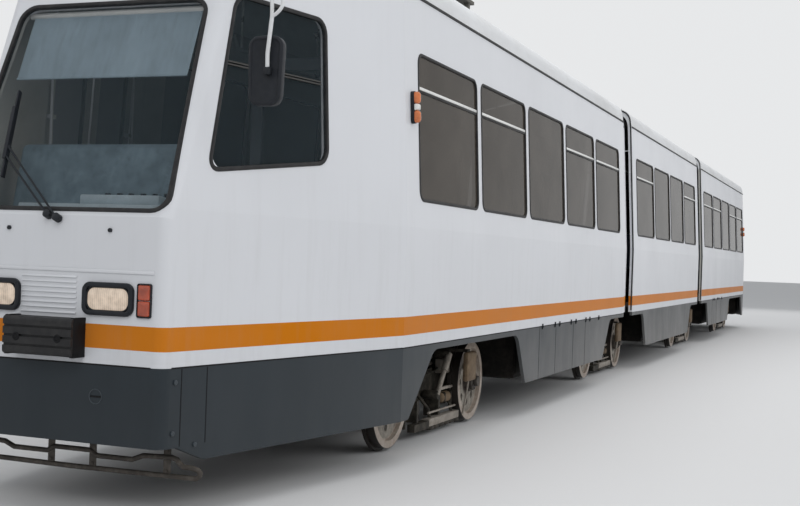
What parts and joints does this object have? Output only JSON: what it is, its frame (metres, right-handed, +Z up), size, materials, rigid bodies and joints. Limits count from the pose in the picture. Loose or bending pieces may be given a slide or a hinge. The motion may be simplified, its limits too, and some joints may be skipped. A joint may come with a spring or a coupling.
{
  "type": "articulated tram",
  "caption": "High-floor articulated tram of hinged cars on shared bogies, with tapered cab, stepped folding doors, black-framed windows and a stripe along the sides.",
  "frame": {"origin": "centre of the bounding box on the ground, under the flange tips", "axes": "+X along the tram towards the cab, +Y to its left, +Z up"},
  "size_m": [25.94, 2.42, 4.2487],
  "materials": {
    "body_paint": "weathered satin white",
    "roof_paint": "weathered matte white",
    "skirt_paint": "weathered satin blue-grey",
    "window_glass": "clear tinted",
    "floor_frame": "matte dark grey",
    "seat_shell": "matte",
    "lamp_housing": "gloss",
    "black_rubber": "matte",
    "black_fittings": "satin",
    "cab_lining": "matte",
    "collector_metal": "dull",
    "underframe_paint": "dusty",
    "wheel_steel": "worn"
  },
  "bodies": {
    "car_b": {"b_sides": "body_paint", "b_roof": "roof_paint", "b_floor": "floor_frame", "b_skirts": "skirt_paint", "b_glass": "window_glass", "b_seats": "seat_shell", "gangway_front": "body_paint", "gangway_rear": "body_paint"},
    "car_a": {"cab_shell": "body_paint", "a_sides": "body_paint", "a_roof": "roof_paint", "a_floor": "floor_frame", "a_skirts": "skirt_paint", "a_glass": "window_glass", "a_seats": "seat_shell", "front_lamps": "lamp_housing", "front_buffer": "black_rubber", "mirrors": "black_fittings", "wiper": "black_fittings", "lifeguard": "underframe_paint", "driver_desk": "cab_lining", "driver_seat": "seat_shell", "cab_partition": "cab_lining", "collector_base": "collector_metal"},
    "car_c": {"c_sides": "body_paint", "c_roof": "roof_paint", "c_floor": "floor_frame", "c_skirts": "skirt_paint", "c_glass": "window_glass", "c_seats": "seat_shell", "rear_shell": "body_paint", "tail_lamps": "lamp_housing", "rear_buffer": "black_rubber"},
    "bogie_1": {"bogie_1": "underframe_paint"},
    "bogie_2": {"bogie_2": "underframe_paint"},
    "bogie_3": {"bogie_3": "underframe_paint"},
    "bogie_4": {"bogie_4": "underframe_paint"},
    "wheelset_1": {"wheelset_1": "wheel_steel"},
    "wheelset_2": {"wheelset_2": "wheel_steel"},
    "wheelset_3": {"wheelset_3": "wheel_steel"},
    "wheelset_4": {"wheelset_4": "wheel_steel"},
    "wheelset_5": {"wheelset_5": "wheel_steel"},
    "wheelset_6": {"wheelset_6": "wheel_steel"},
    "wheelset_7": {"wheelset_7": "wheel_steel"},
    "wheelset_8": {"wheelset_8": "wheel_steel"},
    "door_1_front": {"door_1_front": "body_paint"},
    "door_1_rear": {"door_1_rear": "body_paint"},
    "door_2_front": {"door_2_front": "body_paint"},
    "door_2_rear": {"door_2_rear": "body_paint"},
    "door_3_front": {"door_3_front": "body_paint"},
    "door_3_rear": {"door_3_rear": "body_paint"},
    "door_4_front": {"door_4_front": "body_paint"},
    "door_4_rear": {"door_4_rear": "body_paint"},
    "door_5_front": {"door_5_front": "body_paint"},
    "door_5_rear": {"door_5_rear": "body_paint"},
    "collector_lower_arm": {"collector_lower_arm": "collector_metal"},
    "collector_upper_arm": {"collector_upper_arm": "collector_metal"},
    "collector_head": {"collector_head": "collector_metal"}
  },
  "joints": [
    {"name": "front_joint", "type": "hinge", "parent": "car_b", "child": "car_a", "pos_m": [2.603, 0, 0.8], "axis": [0, 0, 1], "range_deg": [-20, 20]},
    {"name": "rear_joint", "type": "hinge", "parent": "car_b", "child": "car_c", "pos_m": [-4.208, 0, 0.8], "axis": [0, 0, 1], "range_deg": [-20, 20]},
    {"name": "bogie_1_turn", "type": "hinge", "parent": "car_a", "child": "bogie_1", "pos_m": [8.98, 0, 0.75], "axis": [0, 0, 1], "range_deg": [-12, 12]},
    {"name": "bogie_2_turn", "type": "hinge", "parent": "car_b", "child": "bogie_2", "pos_m": [2.603, 0, 0.75], "axis": [0, 0, 1], "range_deg": [-10, 10]},
    {"name": "bogie_3_turn", "type": "hinge", "parent": "car_b", "child": "bogie_3", "pos_m": [-4.208, 0, 0.75], "axis": [0, 0, 1], "range_deg": [-10, 10]},
    {"name": "bogie_4_turn", "type": "hinge", "parent": "car_c", "child": "bogie_4", "pos_m": [-10.31, 0, 0.75], "axis": [0, 0, 1], "range_deg": [-12, 12]},
    {"name": "wheelset_1_spin", "type": "hinge", "parent": "bogie_1", "child": "wheelset_1", "pos_m": [9.913, 0, 0.362], "axis": [0, 1, 0], "continuous": true},
    {"name": "wheelset_2_spin", "type": "hinge", "parent": "bogie_1", "child": "wheelset_2", "pos_m": [8.047, 0, 0.362], "axis": [0, 1, 0], "continuous": true},
    {"name": "wheelset_3_spin", "type": "hinge", "parent": "bogie_2", "child": "wheelset_3", "pos_m": [3.536, 0, 0.362], "axis": [0, 1, 0], "continuous": true},
    {"name": "wheelset_4_spin", "type": "hinge", "parent": "bogie_2", "child": "wheelset_4", "pos_m": [1.67, 0, 0.362], "axis": [0, 1, 0], "continuous": true},
    {"name": "wheelset_5_spin", "type": "hinge", "parent": "bogie_3", "child": "wheelset_5", "pos_m": [-3.275, 0, 0.362], "axis": [0, 1, 0], "continuous": true},
    {"name": "wheelset_6_spin", "type": "hinge", "parent": "bogie_3", "child": "wheelset_6", "pos_m": [-5.141, 0, 0.362], "axis": [0, 1, 0], "continuous": true},
    {"name": "wheelset_7_spin", "type": "hinge", "parent": "bogie_4", "child": "wheelset_7", "pos_m": [-9.377, 0, 0.362], "axis": [0, 1, 0], "continuous": true},
    {"name": "wheelset_8_spin", "type": "hinge", "parent": "bogie_4", "child": "wheelset_8", "pos_m": [-11.243, 0, 0.362], "axis": [0, 1, 0], "continuous": true},
    {"name": "door_1_front_swing", "type": "hinge", "parent": "car_a", "child": "door_1_front", "pos_m": [11.94896, -0.74241, 1.5], "axis": [0, 0, -1], "range_deg": [0, 88]},
    {"name": "door_1_rear_swing", "type": "hinge", "parent": "car_a", "child": "door_1_rear", "pos_m": [10.76758, -0.953, 1.5], "axis": [0, 0, 1], "range_deg": [0, 88]},
    {"name": "door_2_front_swing", "type": "hinge", "parent": "car_a", "child": "door_2_front", "pos_m": [7.325, -0.99242, 1.5], "axis": [0, 0, -1], "range_deg": [0, 88]},
    {"name": "door_2_rear_swing", "type": "hinge", "parent": "car_a", "child": "door_2_rear", "pos_m": [6.125, -0.99242, 1.5], "axis": [0, 0, 1], "range_deg": [0, 88]},
    {"name": "door_3_front_swing", "type": "hinge", "parent": "car_b", "child": "door_3_front", "pos_m": [0.514, -0.99242, 1.5], "axis": [0, 0, -1], "range_deg": [0, 88]},
    {"name": "door_3_rear_swing", "type": "hinge", "parent": "car_b", "child": "door_3_rear", "pos_m": [-0.686, -0.99242, 1.5], "axis": [0, 0, 1], "range_deg": [0, 88]},
    {"name": "door_4_front_swing", "type": "hinge", "parent": "car_b", "child": "door_4_front", "pos_m": [-0.919, -0.99242, 1.5], "axis": [0, 0, -1], "range_deg": [0, 88]},
    {"name": "door_4_rear_swing", "type": "hinge", "parent": "car_b", "child": "door_4_rear", "pos_m": [-2.119, -0.99242, 1.5], "axis": [0, 0, 1], "range_deg": [0, 88]},
    {"name": "door_5_front_swing", "type": "hinge", "parent": "car_c", "child": "door_5_front", "pos_m": [-6.297, -0.99242, 1.5], "axis": [0, 0, -1], "range_deg": [0, 88]},
    {"name": "door_5_rear_swing", "type": "hinge", "parent": "car_c", "child": "door_5_rear", "pos_m": [-7.497, -0.99242, 1.5], "axis": [0, 0, 1], "range_deg": [0, 88]},
    {"name": "collector_raise", "type": "hinge", "parent": "car_a", "child": "collector_lower_arm", "pos_m": [10.5, 0, 3.78], "axis": [0, 1, 0], "range_deg": [0, 44]},
    {"name": "collector_elbow", "type": "hinge", "parent": "collector_lower_arm", "child": "collector_upper_arm", "pos_m": [9.11363, 0, 3.97484], "axis": [0, 1, 0], "range_deg": [-88, 0]},
    {"name": "collector_head_level", "type": "hinge", "parent": "collector_upper_arm", "child": "collector_head", "pos_m": [10.5, 0, 4.16969], "axis": [0, 1, 0], "range_deg": [0, 44]}
  ],
  "couplings": [
    {"joint": "bogie_2_turn", "follows": "front_joint", "ratio": 0.5},
    {"joint": "bogie_3_turn", "follows": "rear_joint", "ratio": 0.5},
    {"joint": "collector_elbow", "follows": "collector_raise", "ratio": -2},
    {"joint": "collector_head_level", "follows": "collector_raise", "ratio": 1}
  ]
}
